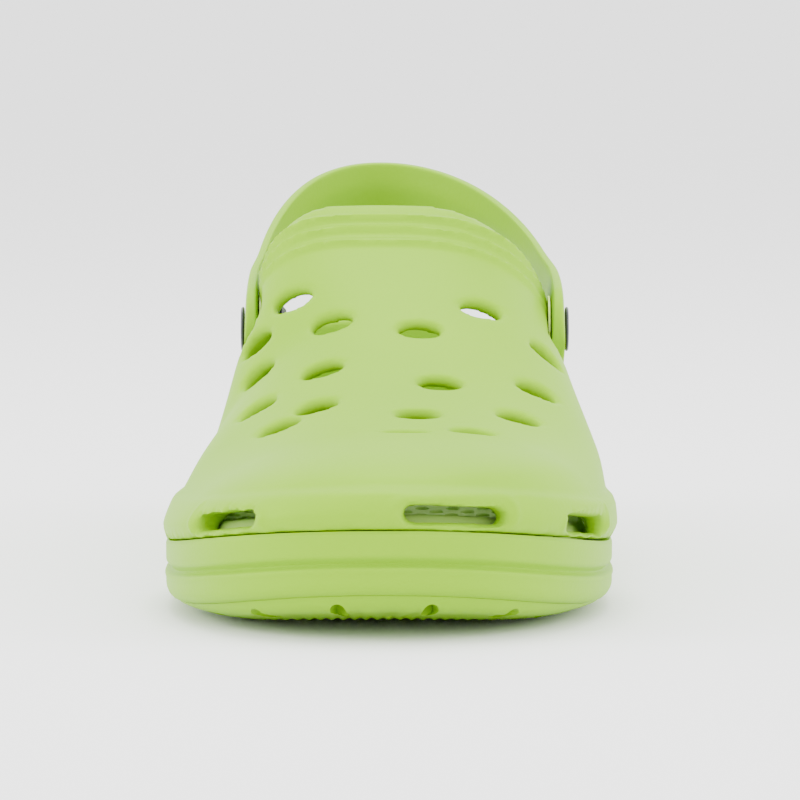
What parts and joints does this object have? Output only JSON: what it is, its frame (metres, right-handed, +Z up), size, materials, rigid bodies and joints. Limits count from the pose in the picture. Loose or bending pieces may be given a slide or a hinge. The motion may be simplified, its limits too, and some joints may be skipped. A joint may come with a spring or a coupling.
{
  "type": "garden clog",
  "caption": "Slip-on foam garden clog with a pierced, vented upper, a cushioned sole, a lift-out insole and a swinging heel strap.",
  "frame": {"origin": "on the ground under the middle of the shoe", "axes": "+Z up, +Y from toe to heel, +X towards the little-toe side of this left shoe"},
  "size_m": [0.115, 0.288, 0.1065],
  "materials": {
    "lime_foam": "satin moulded closed-cell foam",
    "insole_foam": "matte textured foam",
    "rivet_plastic": "satin moulded plastic",
    "washer_plastic": "satin moulded plastic"
  },
  "bodies": {
    "shoe": {"upper_shell": "lime_foam", "sole_unit": "lime_foam", "outsole_tread": "lime_foam", "insole": "insole_foam", "rivet_stud_medial": "rivet_plastic", "rivet_stud_lateral": "rivet_plastic", "rivet_cap_medial": "rivet_plastic", "rivet_cap_lateral": "rivet_plastic", "spacer_washer_medial": "washer_plastic", "spacer_washer_lateral": "washer_plastic"},
    "strap": {"heel_strap": "lime_foam"}
  },
  "joints": [
    {"name": "strap_pivot", "type": "hinge", "parent": "shoe", "child": "strap", "pos_m": [0, 0.012, 0.065], "axis": [1, 0, 0], "range_deg": [-7, 112]}
  ]
}
